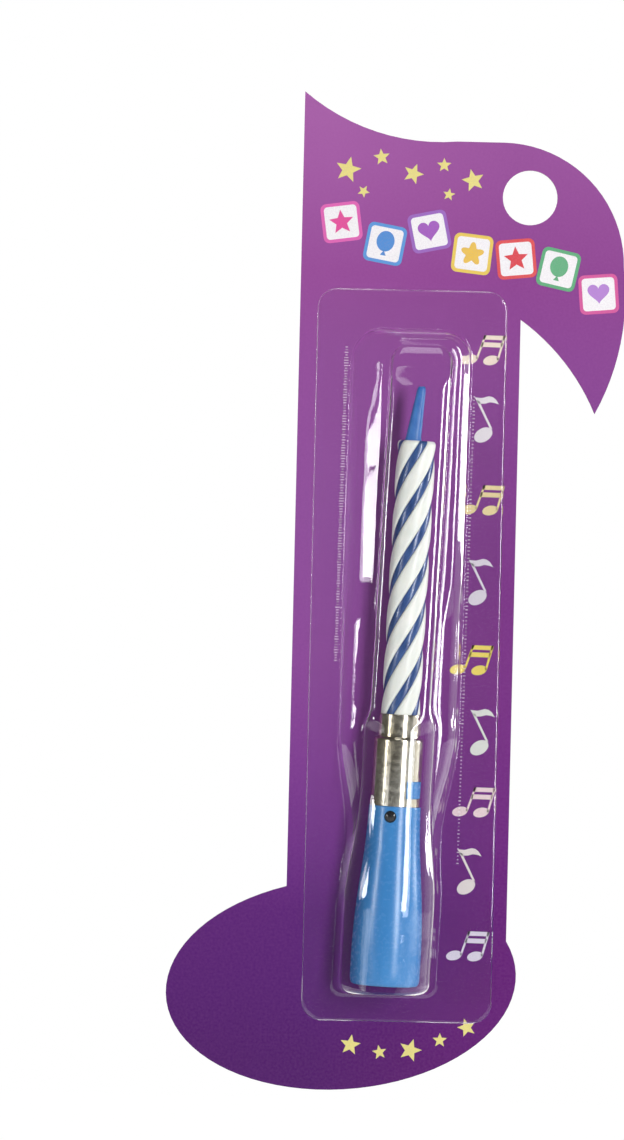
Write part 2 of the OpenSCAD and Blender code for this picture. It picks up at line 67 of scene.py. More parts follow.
def strip_lamp(name, turn, rise, distance, width, height, power, roll=0):
    """A soft box, turned right of the front, raised and rolled, that faces the pack."""
    data = bpy.data.lights.new(name, "AREA")
    data.shape = "RECTANGLE"
    data.size = width
    data.size_y = height
    data.energy = power
    lamp = bpy.data.objects.new(name, data)
    bpy.context.collection.objects.link(lamp)
    turn = math.radians(turn)
    lamp.location = lamp_aim + Vector((math.sin(turn), -math.cos(turn), rise)) * distance
    facing = (lamp_aim - lamp.location).to_track_quat("-Z", "Y")
    lamp.rotation_euler = (facing.to_matrix() @ Matrix.Rotation(math.radians(roll), 3, "Z")).to_euler()


strip_lamp("key_lamp", 29, 0.15, 0.7, 0.13, 0.4, 3.55)
strip_lamp("left_lamp", -41, -0.131, 0.55, 0.12, 0.056, 0.045)
strip_lamp("right_lamp", 102, 0.0, 0.55, 0.55, 0.4, 0.5)
strip_lamp("soft_lamp", -8, 0.75, 0.9, 0.25, 0.14, 0.45)
strip_lamp("top_lamp", -4, 3.0, 0.25, 0.3, 0.15, 0.6)
strip_lamp("back_lamp", 172, 0.7, 0.8, 0.5, 0.4, 3.5)
strip_lamp("left_streak_lamp", -55, 0.046, 0.6, 0.126, 0.058, 0.56, 15)
strip_lamp("right_streak_lamp", 103, 0.038, 0.6, 0.19, 0.066, 0.8, -15)


# Ground: white for the eye, and white behind the pack for reflections and for what shows through
# the clear sheet, with a mild even light from all round. The floor is a pale sheet well below the
# hanging pack, and it is nearly white for the eye too.
mirror_limits = (0.75, 0.95)
glass_limits = (0.0, 0.3)
mild_colour = (1, 0.99, 0.97, 1)
mild_light = 0.11
floor_level = -0.4
floor_half = 3.0
floor_gray = (0.9, 0.9, 0.9)
floor_glow = 1.16
floor_glow_share = 0.85


def add_node(owner, kind, **settings):
    """A node for a material or the world. Each setting is an input of it, or else a property."""
    made = owner.node_tree.nodes.new(kind)
    for name, value in settings.items():
        socket = made.inputs.get(name.replace("_", " "))
        if socket is None:
            setattr(made, name, value)
        else:
            socket.default_value = value
    return made


def connect(owner, start, end):
    owner.node_tree.links.new(start, end)


def spread(owner, factor, low, high, start=0.3, end=0.7):
    """A factor between start and end turned into a number from low to high."""
    ranged = add_node(owner, "ShaderNodeMapRange", From_Min=start, From_Max=end, To_Min=low, To_Max=high)
    connect(owner, factor, ranged.inputs["Value"])
    return ranged.outputs[0]


def join_factors(owner, operation, first, second):
    """Two factors made one, as their product or as the greater of them."""
    joined = add_node(owner, "ShaderNodeMath", operation=operation)
    connect(owner, first, joined.inputs[0])
    connect(owner, second, joined.inputs[1])
    return joined.outputs[0]


def mix_shaders(owner, factor, first, second):
    """The first shader where the factor is 0, and the second where it is 1."""
    mixed = add_node(owner, "ShaderNodeMixShader")
    connect(owner, factor, mixed.inputs[0])
    connect(owner, first.outputs[0], mixed.inputs[1])
    connect(owner, second.outputs[0], mixed.inputs[2])
    return mixed.outputs[0]


def start_material(name, colour, roughness, **settings):
    """A material with one shader, and its even colour and finish."""
    material = bpy.data.materials.new(name)
    material.use_nodes = True
    shader = material.node_tree.nodes["Principled BSDF"]
    shader.inputs["Base Color"].default_value = (*colour, 1)
    shader.inputs["Roughness"].default_value = roughness
    for socket, value in settings.items():
        shader.inputs[socket.replace("_", " ")].default_value = value
    return material, shader


world = bpy.data.worlds.new("studio")
bpy.context.scene.world = world
world.use_nodes = True
world.node_tree.nodes.clear()
sky_ray = add_node(world, "ShaderNodeLightPath")
sky_way = add_node(world, "ShaderNodeTexCoord")
sky_split = add_node(world, "ShaderNodeSeparateXYZ")
connect(world, sky_way.outputs["Generated"], sky_split.inputs[0])
sky_behind = spread(world, sky_split.outputs["Y"], 0, 1, *mirror_limits)
sky_through = spread(world, sky_split.outputs["Y"], 0, 1, *glass_limits)
sky_mirror = join_factors(world, "MULTIPLY", sky_ray.outputs["Is Glossy Ray"], sky_behind)
sky_glass = join_factors(world, "MULTIPLY", sky_ray.outputs["Is Transmission Ray"], sky_through)
sky_clear = join_factors(world, "MAXIMUM", sky_mirror, sky_glass)
sky_seen = join_factors(world, "MAXIMUM", sky_ray.outputs["Is Camera Ray"], sky_clear)
sky_mild = add_node(world, "ShaderNodeBackground", Color=mild_colour, Strength=mild_light)
sky_white = add_node(world, "ShaderNodeBackground", Color=(1, 1, 1, 1), Strength=1.0)
sky_end = add_node(world, "ShaderNodeOutputWorld")
connect(world, mix_shaders(world, sky_seen, sky_mild, sky_white), sky_end.inputs["Surface"])

floor_mesh = bpy.data.meshes.new("floor")
floor_mesh.from_pydata(
    [(x * floor_half, y * floor_half, floor_level) for x, y in ((-1, -1), (1, -1), (1, 1), (-1, 1))],
    [], [(0, 1, 2, 3)])
floor = bpy.data.objects.new("floor", floor_mesh)
bpy.context.collection.objects.link(floor)
floor_paper, floor_shader = start_material("floor_paper", floor_gray, 0.9)
floor_ray = add_node(floor_paper, "ShaderNodeLightPath")
floor_clear = join_factors(
    floor_paper, "MAXIMUM", floor_ray.outputs["Is Glossy Ray"], floor_ray.outputs["Is Transmission Ray"])
floor_seen = join_factors(floor_paper, "MAXIMUM", floor_ray.outputs["Is Camera Ray"], floor_clear)
floor_share = spread(floor_paper, floor_seen, 0, floor_glow_share, 0, 1)
floor_white = add_node(floor_paper, "ShaderNodeEmission", Strength=floor_glow)
floor_look = mix_shaders(floor_paper, floor_share, floor_shader, floor_white)
connect(floor_paper, floor_look, floor_paper.node_tree.nodes["Material Output"].inputs["Surface"])
floor.data.materials.append(floor_paper)


# Card: 0.6 mm folding box board, die-cut to the outline of a quaver and punched for a peg. The front
# is printed in a violet that deepens towards the note head, and varnished; back and edges are bare.
card_low = -0.135
card_high = 0.016
print_depth = (0.00003, 0.00005)
print_gloss = 0.27
board_gloss = 0.85
card_tints = (
    (0.113, (84, 28, 111)), (0.18, (90, 32, 116)), (0.245, (110, 48, 133)), (0.33, (125, 60, 144)),
    (0.437, (138, 73, 151)), (0.59, (142, 78, 154)), (0.735, (146, 78, 154)), (0.815, (150, 76, 152)),
    (0.927, (163, 92, 164)),
)


def srgb(red, green, blue):
    """A screen colour of 0 to 255 as the linear colour that a shader takes."""
    return tuple(((v / 255 + 0.055) / 1.055) ** 2.4 for v in (red, green, blue))


def object_noise(material, scale, detail=2.0, stretch=(1, 1, 1)):
    """Noise on the piece's own place, as a factor. Scale is in waves per metre."""
    place = add_node(material, "ShaderNodeTexCoord")
    fitted = add_node(material, "ShaderNodeMapping", Scale=stretch)
    grain = add_node(material, "ShaderNodeTexNoise", Scale=scale, Detail=detail)
    connect(material, place.outputs["Object"], fitted.inputs["Vector"])
    connect(material, fitted.outputs[0], grain.inputs["Vector"])
    return grain.outputs["Fac"]


def object_place(material):
    """The piece's own place, as outputs X, Y and Z in metres."""
    place = add_node(material, "ShaderNodeTexCoord")
    split = add_node(material, "ShaderNodeSeparateXYZ")
    connect(material, place.outputs["Object"], split.inputs[0])
    return split.outputs


def blend_colours(material, factor, first, second):
    """Two colours, or links to colours, mixed by a factor."""
    mixed = add_node(material, "ShaderNodeMix", data_type="RGBA")
    connect(material, factor, mixed.inputs["Factor"])
    for socket, colour in ((mixed.inputs[6], first), (mixed.inputs[7], second)):
        if isinstance(colour, tuple):
            socket.default_value = (*colour, 1)
        else:
            connect(material, colour, socket)
    return mixed.outputs[2]


def add_relief(material, shader, factor, depth, strength=1.0):
    """Fine relief of a depth in metres."""
    relief = add_node(material, "ShaderNodeBump", Strength=strength, Distance=depth)
    connect(material, factor, relief.inputs["Height"])
    connect(material, relief.outputs[0], shader.inputs["Normal"])


card_ink, card_shader = start_material(
    "card_violet_print", srgb(130, 64, 143), print_gloss, Specular_IOR_Level=0.2)
card_place = object_place(card_ink)
card_ramp = add_node(card_ink, "ShaderNodeValToRGB")
card_stops = card_ramp.color_ramp.elements
card_stops[0].position = 0.033
card_stops[0].color = (*srgb(77, 24, 102), 1)
card_stops[1].position = 1.0
card_stops[1].color = (*srgb(168, 98, 168), 1)
for share, tint in card_tints:
    card_stops.new(share).color = (*srgb(*tint), 1)
connect(card_ink, spread(card_ink, card_place["Z"], 0, 1, card_low, card_high), card_ramp.inputs[0])
card_right = spread(card_ink, card_place["X"], 0.0, 0.65, -0.03, -0.002)
card_down = spread(card_ink, card_place["Z"], 1.0, 0.4, -0.06, -0.025)
card_side = join_factors(card_ink, "MULTIPLY", card_right, card_down)
card_shade = blend_colours(card_ink, card_side, card_ramp.outputs[0], srgb(104, 26, 116))
card_mottle = spread(card_ink, object_noise(card_ink, 2600, 3), 0.0, 0.06)
card_print = blend_colours(card_ink, card_mottle, card_shade, srgb(196, 128, 196))
card_fibre = object_noise(card_ink, 900, 4, (1, 1, 3))
card_board = blend_colours(card_ink, card_fibre, srgb(196, 192, 186), srgb(226, 223, 217))
card_behind = spread(card_ink, card_place["Y"], 0, 1, *print_depth)
card_face = blend_colours(card_ink, card_behind, card_print, card_board)
connect(card_ink, card_face, card_shader.inputs["Base Color"])
card_gloss = spread(card_ink, card_place["Y"], print_gloss, board_gloss, *print_depth)
connect(card_ink, card_gloss, card_shader.inputs["Roughness"])
add_relief(card_ink, card_shader, card_fibre, 0.00001, 0.5)
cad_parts["backing_card"].data.materials[0] = card_ink


# Printed figures: opaque ink on the front of the card. Music notes run down the right of the stem,
# party tiles cross the flag, and small stars fill the rest. Each figure is a film of ink.
ink_sunk = 0.01
ink_film = 0.02
tile_edge_film = 0.012
tile_figure_film = 0.028


def polar(radius, turn, middle=(0, 0), flat=1.0, tilt=0.0):
    """A point at a turn in degrees round a middle, on a circle or a tilted flat ellipse."""
    x = radius * math.cos(math.radians(turn))
    z = radius * flat * math.sin(math.radians(turn))
    tilt = math.radians(tilt)
    return (middle[0] + x * math.cos(tilt) - z * math.sin(tilt),
            middle[1] + x * math.sin(tilt) + z * math.cos(tilt))


def oval(radius, middle=(0, 0), flat=1.0, tilt=0.0, steps=28):
    return [polar(radius, 360 * k / steps, middle, flat, tilt) for k in range(steps)]


def round_box(width, height, corner, steps=5):
    """A rectangle with round corners, round its own middle."""
    points = []
    for k, (x, z) in enumerate(((1, 1), (-1, 1), (-1, -1), (1, -1))):
        middle = (x * (width / 2 - corner), z * (height / 2 - corner))
        points += [polar(corner, 90 * k + 90 * s / steps, middle) for s in range(steps + 1)]
    return points


def star(tips, outer, inner):
    return [polar((outer, inner)[k % 2], 90 + 180 * k / tips) for k in range(2 * tips)]


def flower(petals, radius, wave, steps=60):
    turns = [360 * k / steps for k in range(steps)]
    return [polar(radius * (1 + wave * math.cos(math.radians(petals * t))), 90 + t) for t in turns]


def heart(size, steps=40):
    points = []
    for k in range(steps):
        t = 2 * math.pi * k / steps
        x = 16 * math.sin(t) ** 3
        z = 13 * math.cos(t) - 5 * math.cos(2 * t) - 2 * math.cos(3 * t) - math.cos(4 * t) + 2.5
        points.append((x * size / 17, z * size / 17))
    return points


def mesh_object(name, shape):
    """A bmesh made a mesh object."""
    mesh = bpy.data.meshes.new(name)
    shape.to_mesh(mesh)
    shape.free()
    return bpy.data.objects.new(name, mesh)


def ink_figure(name, outlines, film=ink_film):
    """A figure of one or more outlines, in mm, as closed films of ink that face the front."""
    shape = bmesh.new()
    for outline in outlines:
        front = [shape.verts.new((x * MM, -film * MM, z * MM)) for x, z in outline]
        back = [shape.verts.new((x * MM, ink_sunk * MM, z * MM)) for x, z in outline]
        shape.faces.new(front)
        shape.faces.new(back[::-1])
        for k in range(len(front)):
            after = (k + 1) % len(front)
            shape.faces.new((front[k], back[k], back[after], front[after]))
    bmesh.ops.recalc_face_normals(shape, faces=shape.faces)
    return mesh_object(name, shape)


def start_tree(name, inputs, output):
    """A tree for a modifier, with inputs of a name and a kind each, and one mesh as its output."""
    tree = bpy.data.node_groups.new(name, "GeometryNodeTree")
    tree.is_modifier = True
    for title, kind in inputs:
        tree.interface.new_socket(title, in_out="INPUT", socket_type="NodeSocket" + kind)
    tree.interface.new_socket(output, in_out="OUTPUT", socket_type="NodeSocketGeometry")
    return tree, tree.nodes.new("NodeGroupInput"), tree.nodes.new("NodeGroupOutput")


def figure_tree():
    """Sets figures of a collection on points, each with its own pick, turn, size and ink."""
    tree, given, result = start_tree("printed_figures", (
        ("Places", "Geometry"), ("Figures", "Collection"), ("Ink", "Material")), "Print")
    figures = tree.nodes.new("GeometryNodeCollectionInfo")
    figures.inputs["Separate Children"].default_value = True
    figures.inputs["Reset Children"].default_value = True
    read = {}
    for name, kind in (("pick", "INT"), ("turn", "FLOAT"), ("size", "FLOAT")):
        read[name] = tree.nodes.new("GeometryNodeInputNamedAttribute")
        read[name].data_type = kind
        read[name].inputs["Name"].default_value = name
    turned = tree.nodes.new("ShaderNodeCombineXYZ")
    placed = tree.nodes.new("GeometryNodeInstanceOnPoints")
    placed.inputs["Pick Instance"].default_value = True
    real = tree.nodes.new("GeometryNodeRealizeInstances")
    inked = tree.nodes.new("GeometryNodeSetMaterial")
    for start, end in (
        (given.outputs["Places"], placed.inputs["Points"]),
        (given.outputs["Figures"], figures.inputs["Collection"]),
        (figures.outputs[0], placed.inputs["Instance"]),
        (read["pick"].outputs["Attribute"], placed.inputs["Instance Index"]),
        (read["turn"].outputs["Attribute"], turned.inputs["Y"]),
        (turned.outputs[0], placed.inputs["Rotation"]),
        (read["size"].outputs["Attribute"], placed.inputs["Scale"]),
        (placed.outputs[0], real.inputs[0]),
        (real.outputs[0], inked.inputs["Geometry"]),
        (given.outputs["Ink"], inked.inputs["Material"]),
        (inked.outputs[0], result.inputs["Print"]),
    ):
        tree.links.new(start, end)
    return tree


def plain_copy(maker, name):
    """The evaluated result of an object's modifiers as a plain mesh object; the maker is removed."""
    bpy.context.view_layer.update()
    graph = bpy.context.evaluated_depsgraph_get()
    mesh = bpy.data.meshes.new_from_object(
        maker.evaluated_get(graph), preserve_all_data_layers=True, depsgraph=graph)
    mesh.name = name
    bpy.data.objects.remove(maker)
    made = bpy.data.objects.new(name, mesh)
    bpy.context.collection.objects.link(made)
    return made


def run_tree(name, mesh, tree, **inputs):
    """The plain mesh object that a tree makes of a mesh. Inputs go by the tree's own identifiers."""
    maker = bpy.data.objects.new(name + "_maker", mesh)
    bpy.context.collection.objects.link(maker)
    setting = maker.modifiers.new(name, "NODES")
    setting.node_group = tree
    for socket in tree.interface.items_tree:
        if socket.name in inputs:
            setting[socket.identifier] = inputs[socket.name]
    return plain_copy(maker, name)


figures_tree = figure_tree()


def print_figures(name, figures, places):
    """Prints figures on the card. A place is a pick, x, z, turn in degrees, size and ink colour."""
    stock = bpy.data.collections.new(name + "_stock")
    bpy.context.scene.collection.children.link(stock)
    for figure in figures:
        stock.objects.link(figure)
    points = bpy.data.meshes.new(name)
    points.from_pydata([(p[1] * MM, 0, p[2] * MM) for p in places], [], [])
    for field, kind, values in (
        ("pick", "INT", [p[0] for p in places]),
        ("turn", "FLOAT", [math.radians(p[3]) for p in places]),
        ("size", "FLOAT", [p[4] for p in places]),
    ):
        points.attributes.new(field, kind, "POINT").data.foreach_set("value", values)
    inks = points.attributes.new("ink", "FLOAT_COLOR", "POINT")
    inks.data.foreach_set("color", [v for p in places for v in (*srgb(*p[5]), 1)])
    printed = run_tree(name, points, figures_tree, Figures=stock, Ink=figure_ink)
    for figure in figures:
        bpy.data.objects.remove(figure)
    bpy.data.collections.remove(stock)
    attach(printed, "card")


figure_ink, figure_shader = start_material("figure_ink", (0.8, 0.8, 0.8), 0.45, Coat_Weight=0.2)
figure_colour = add_node(figure_ink, "ShaderNodeAttribute", attribute_name="ink")
figure_wear = spread(figure_ink, object_noise(figure_ink, 5000, 3), 0.0, 0.22)
figure_tone = blend_colours(figure_ink, figure_wear, figure_colour.outputs["Color"], srgb(168, 140, 172))
connect(figure_ink, figure_tone, figure_shader.inputs["Base Color"])
add_relief(figure_ink, figure_shader, object_noise(figure_ink, 7000, 2), 0.000006, 0.5)

beamed_note = ink_figure("0_beamed_note", [
    oval(1.18, (-2.08, -1.42), 0.6, 14),
    oval(1.18, (1.08, -1.5), 0.6, 14),
    [(-1.2, -1.3), (-0.9, -1.35), (0.32, 2.25), (0, 2.25)],
    [(1.95, -1.4), (2.25, -1.45), (3.25, 2.2), (2.9, 2.2)],
    [(0, 2.25), (-0.2, 1.6), (2.95, 1.55), (3.25, 2.2)],
    [(-0.28, 1.2), (-0.5, 0.5), (2.55, 0.45), (2.85, 1.15)],
])
single_note = ink_figure("1_single_note", [
    oval(1.48, (-0.4, -2.2), 0.68, 32),
    [(0.55, -1.2), (0.95, -1.3), (-1.1, 2.8), (-1.6, 3.0)],
    [(-1.86, 3.42), (-1.15, 2.46), (-0.2, 2.5), (0.5, 2.72), (1.24, 2.63), (1.84, 2.4), (1.4, 3.1),
     (0.9, 3.5), (0.3, 3.62), (-0.3, 3.45), (-0.8, 3.32)],
])
note_places = [
    (-6.4, -23.0, (250, 232, 212)), (-5.8, -33.5, (238, 232, 236)), (-6.0, -45.5, (242, 222, 158)),
    (-6.1, -57.9, (226, 220, 230)), (-7.1, -69.5, (246, 224, 84)), (-5.3, -80.4, (228, 232, 224)),
    (-6.3, -90.8, (244, 220, 220)), (-6.8, -101.3, (238, 228, 222)), (-6.7, -112.4, (230, 222, 236)),
]
print_figures("printed_notes", [beamed_note, single_note],
              [(k % 2, x, z, 0, 1, ink) for k, (x, z, ink) in enumerate(note_places)])

tile_places = [
    (-28.2, -4.3, -8, (226, 88, 178)),
    (-21.6, -7.4, 10, (70, 150, 220)),
    (-15.0, -5.4, -12, (150, 92, 190)),
    (-8.5, -8.6, 6, (238, 206, 70)),
    (-1.9, -9.2, -6, (226, 62, 58)),
    (4.5, -10.6, 12, (74, 172, 112)),
    (10.6, -14.2, -5, (216, 72, 152)),
]
tile_edge = ink_figure("0_tile_edge", [round_box(5.9, 5.9, 0.9)], tile_edge_film)
print_figures("printed_tile_edges", [tile_edge],
              [(0, x, z, turn, 1, ink) for x, z, turn, ink in tile_places])
tile_white = (250, 248, 250)
tile_face = ink_figure("0_tile_face", [round_box(4.9, 4.9, 0.55)])
print_figures("printed_tile_faces", [tile_face],
              [(0, x, z, turn, 1, tile_white) for x, z, turn, ink in tile_places])
balloon_knot = [(-0.45, -1.75), (0.45, -1.75), (0, -1.0)]
tile_figures = [
    ink_figure("0_star", [star(5, 1.9, 0.85)], tile_figure_film),
    ink_figure("1_balloon", [oval(1.35, (0, 0.4), 1.15), balloon_knot], tile_figure_film),
    ink_figure("2_heart", [heart(1.75)], tile_figure_film),
    ink_figure("3_flower", [flower(5, 1.4, 0.28)], tile_figure_film),
]
tile_inks = [(230, 60, 150), (60, 140, 215), (160, 80, 190), (240, 196, 60), (222, 44, 48), (84, 176, 120),
             (182, 128, 214)]
print_figures("printed_tile_figures", tile_figures,
              [(k % len(tile_figures), *place[:3], 1, tile_inks[k]) for k, place in enumerate(tile_places)])

small_stars = [
    (-27.4, 3.6, 12, 1.25), (-22.4, 5.6, -8, 0.8), (-17.6, 3.2, 20, 1.0), (-13.0, 4.6, 0, 0.7),
    (-8.6, 2.4, -14, 1.1), (-25.0, 0.4, 30, 0.6), (-12.2, 0.2, 9, 0.6),
    (-24.0, -127.6, 8, 1.0), (-19.6, -128.6, -10, 0.7), (-15.0, -128.2, 16, 1.1), (-10.6, -126.6, 0, 0.7),
    (-6.6, -124.6, -18, 0.9),
]
star_yellow = (236, 224, 128)
small_star = ink_figure("0_small_star", [star(5, 1.6, 0.7)])
print_figures("printed_stars", [small_star],
              [(0, x, z, turn, size, star_yellow) for x, z, turn, size in small_stars])


# Wax candle: white paraffin drawn through a four-lobed die and twisted, with navy strips in its
# flutes. It stands in the ferrule's collar, and its top edge is melted soft.
candle_x = -19.2
candle_y = -5.5
foot_z = -118.1
candle_lean = 2.1
candle_place = (Matrix.Translation((candle_x * MM, candle_y * MM, foot_z * MM))
                @ Matrix.Rotation(math.radians(candle_lean), 4, "Y"))
wax_foot = 36.45
wax_top = 81.2
wax_r = 2.9
wax_lead = 28.6
wax_rows = 170
crowd_to_top = 1.25
wax_edge = 0.7
wax_edge_draw = 0.16
wax_uneven = 0.006
lobes = 4
sector = 360 / lobes
lobe_drop = 0.18
lobe_steps = 12
lobe_share = 0.96
lip_drop = 0.12
lip_turn = 0.2
flute_r = 2.3
flute_half = 15.3
flute_floor = 0.985
strip_turn = 2.0
strip_fill = 0.95
strip_gap = 0.02
strip_crown = 0.05


def add_piece(name, shape, material, body, slot, *nodes, place=candle_place, angle=35):
    """Makes a bmesh in mm a finished piece in the pack, smooth but for edges over an angle."""
    bmesh.ops.remove_doubles(shape, verts=shape.verts, dist=1e-5)
    bmesh.ops.recalc_face_normals(shape, faces=shape.faces)
    bmesh.ops.scale(shape, vec=(MM, MM, MM), verts=shape.verts)
    bmesh.ops.transform(shape, matrix=place, verts=shape.verts)
    piece = mesh_object(name, shape)
    piece.data.shade_smooth()
    piece.data.set_sharp_from_angle(angle=math.radians(angle))
    piece.data.materials.append(material)
    bpy.context.collection.objects.link(piece)
    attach(piece, body)
    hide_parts(*nodes)


def clouded_finish(name, colour, roughness, tones, cloud, relief, gloss=None, **settings):
    """A material of two tones in soft clouds, with a fine relief and, where given, uneven gloss."""
    material, shader = start_material(name, srgb(*colour), roughness, **settings)
    drift = spread(material, object_noise(material, *cloud), 0.0, 1.0)
    tone = blend_colours(material, drift, srgb(*tones[0]), srgb(*tones[1]))
    connect(material, tone, shader.inputs["Base Color"])
    if gloss:
        grain, low, high = gloss
        uneven = spread(material, object_noise(material, *grain), low, high)
        connect(material, uneven, shader.inputs["Roughness"])
    grain, depth, strength = relief
    add_relief(material, shader, object_noise(material, *grain), depth, strength)
    return material


def loft(shape, rings):
    """Skins rings of equal length and closes the first and the last with a face."""
    rows = [[shape.verts.new(p) for p in ring] for ring in rings]
    for low, high in zip(rows, rows[1:]):
        for k in range(len(low)):
            after = (k + 1) % len(low)
            shape.faces.new((low[k], low[after], high[after], high[k]))
    shape.faces.new(rows[0][::-1])
    shape.faces.new(rows[-1])


def sway(x, y, z, waves):
    """A smooth chance value of about -1 to 1 at a place. Waves are the counts per mm on each axis."""
    return noise.noise((x * waves[0], y * waves[1], z * waves[2]))


def twisted_rings(section):
    """A section of radii and turns, twisted up the candle and drawn in at its soft top edge."""
    rings = []
    for row in range(wax_rows + 1):
        z = wax_foot + (wax_top - wax_foot) * (1 - (1 - row / wax_rows) ** crowd_to_top)
        to_top = max(0.0, 1 - (wax_top - z) / wax_edge)
        soft = 1 - wax_edge_draw * (1 - math.sqrt(max(0.0, 1 - to_top * to_top)))
        turn = strip_turn + 360 * (z - wax_foot) / wax_lead
        ring = []
        for radius, angle in section:
            x, y = polar(radius * soft, turn + angle)
            uneven = 1 + wax_uneven * sway(x, y, z, (0.9, 0.9, 0.5))
            ring.append((x * uneven, y * uneven, z))
        rings.append(ring)
    return rings


lobe_half = sector / 2 - flute_half
lip_r = wax_r - lobe_drop - lip_drop
body_section = []
for lobe in range(lobes):
    start = sector * lobe
    body_section += [(flute_r, start + flute_half * t) for t in (-flute_floor, -0.5, 0, 0.5, flute_floor)]
    body_section.append((lip_r, start + flute_half + lip_turn))
    for step in range(lobe_steps + 1):
        t = 2 * step / lobe_steps - 1
        body_section.append((wax_r - lobe_drop * t ** 4, start + sector / 2 + lobe_half * lobe_share * t))
    body_section.append((lip_r, start + sector - flute_half - lip_turn))
white_wax = clouded_finish(
    "white_paraffin", (238, 240, 232), 0.38, ((247, 248, 241), (236, 240, 232)), (420, 4),
    ((1800, 4), 0.00003, 0.5), ((1500, 3), 0.3, 0.5),
    Subsurface_Weight=0.2, Subsurface_Scale=0.0008, Subsurface_Radius=(1.0, 0.85, 0.7))
wax_shape = bmesh.new()
loft(wax_shape, twisted_rings(body_section))
add_piece("wax_body", wax_shape, white_wax, "candle", "white_wax", "candle_body", angle=50)

strip_r = wax_r - lobe_drop
strip_half = flute_half * strip_fill
navy_wax = clouded_finish(
    "navy_paraffin", (44, 72, 130), 0.22, ((36, 64, 118), (62, 94, 150)), (900, 4, (1, 1, 0.4)),
    ((2200, 3), 0.00004, 0.5))
strip_shape = bmesh.new()
for strip in range(lobes):
    start = sector * strip
    strip_section = [(flute_r + strip_gap, start + strip_half * t) for t in (1, 0.5, 0, -0.5, -1)]
    strip_section += [(strip_r - strip_crown * t ** 4, start + strip_half * t)
                      for t in (-1, -0.75, -0.4, 0, 0.4, 0.75, 1)]
    loft(strip_shape, twisted_rings(strip_section))
add_piece("wax_strips", strip_shape, navy_wax, "candle", "navy_wax", "candle_stripes", angle=50)


# Wick: braided cotton through the candle, dipped in azure wax where it stands free. The dip leaves
# a flat tapering tongue that leans a little.
wick_rise = 8.4
wick_sunk = 0.15
wick_rows = 28
wick_x = (-0.6, 0.3)
wick_wide = (1.2, 0.6)
wick_deep = (0.95, 0.53)
wick_blunt = (0.7, 0.8)
wick_swell = 0.05
drip = 0.12
drip_share = 1 / 14
tip_share = 0.1
tip_least = 0.02


def along(ends, share):
    """A size between the wick's foot and its tip."""
    return ends[0] + (ends[1] - ends[0]) * share


wick_rings = []
for row in range(wick_rows + 1):
    share = row / wick_rows
    z = wax_top - wick_sunk + (wick_rise + wick_sunk) * share
    to_tip = max(0.0, (share - 1 + tip_share) / tip_share)
    drawn = math.sqrt(max(tip_least, 1 - to_tip ** 2)) * (1 + drip * max(0.0, 1 - share / drip_share))
    middle = along(wick_x, share)
    ring = []
    for turn in range(0, 360, 12):
        c, s = polar(1, turn)
        x = along(wick_wide, share) * drawn * math.copysign(abs(c) ** wick_blunt[0], c)
        y = along(wick_deep, share) * drawn * math.copysign(abs(s) ** wick_blunt[1], s)
        swell = min(1.0, 1 + wick_swell * sway(middle + x, y, z, (1.3, 1.3, 0.8)))
        ring.append((middle + x * swell, y * swell, z))
    wick_rings.append(ring)
azure_wax = clouded_finish(
    "azure_paraffin", (54, 114, 187), 0.4, ((38, 100, 178), (70, 128, 196)), (1100, 4, (1, 1, 0.35)),
    ((2500, 3, (1, 1, 0.4)), 0.00005, 0.6), Subsurface_Weight=0.1, Subsurface_Scale=0.0006)
wick_shape = bmesh.new()
loft(wick_shape, wick_rings)
add_piece("dipped_wick", wick_shape, azure_wax, "candle", "azure_wax", "wick_coating")

wick_cotton, cotton_shader = start_material("wick_cotton", srgb(232, 224, 202), 0.9)
cotton_braid = object_noise(wick_cotton, 4000, 2, (1, 1, 0.5))
cotton_tone = blend_colours(wick_cotton, cotton_braid, srgb(214, 204, 178), srgb(242, 236, 218))
connect(wick_cotton, cotton_tone, cotton_shader.inputs["Base Color"])
add_relief(wick_cotton, cotton_shader, cotton_braid, 0.00008)
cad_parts["wick"].data.materials[0] = wick_cotton


# Ferrule: one piece of 0.2 mm steel strip, drawn in two steps and nickel plated. A window cut in
# its side takes the lug of the base, which holds it on.
base_top = 26.7
sleeve_r = 3.68
steel_t = 0.2
shoulder_round = (0.4, 0.45)
collar_foot = 36.9
collar_r = 3.15
collar_root = (0.12, 0.25)
ferrule_top = 40.4
ferrule_lip = 0.1
window_low = 27.95
window_high = 30.55
window_wide = 3.7
window_rows = 4
window_steps = 12
window_turn = -90 + 54
window_half = math.degrees(math.asin(window_wide / 2 / sleeve_r))
rest_steps = 110
# More rows along the straight walls keep their shading straight.
sleeve_rows = (32, 33.5, 35, 36.2)
collar_rows = (37.6, 38.4, 39.2, 40.0)


def lathe(shape, profile, turns, cut=None, closed=True):
    """Revolves a profile of radii and heights. A cut leaves faces out, by row and turn."""
    rows = [[shape.verts.new((*polar(r, t), z)) for t in turns] for r, z in profile]
    for i, row in enumerate(rows if closed else rows[:-1]):
        other = rows[(i + 1) % len(rows)]
        for k in range(len(turns)):
            after = (k + 1) % len(turns)
            if cut is None or not cut(i, k):
                shape.faces.new((row[k], row[after], other[after], other[k]))
    return rows


def bend(corners, steps):
    """Points of a smooth bend that joins the first corner to the last and leans to those between."""
    points = []
    for step in range(steps + 1):
        row = corners
        while len(row) > 1:
            row = [tuple(a + (b - a) * step / steps for a, b in zip(p, q)) for p, q in zip(row, row[1:])]
        points.append(row[0])
    return points


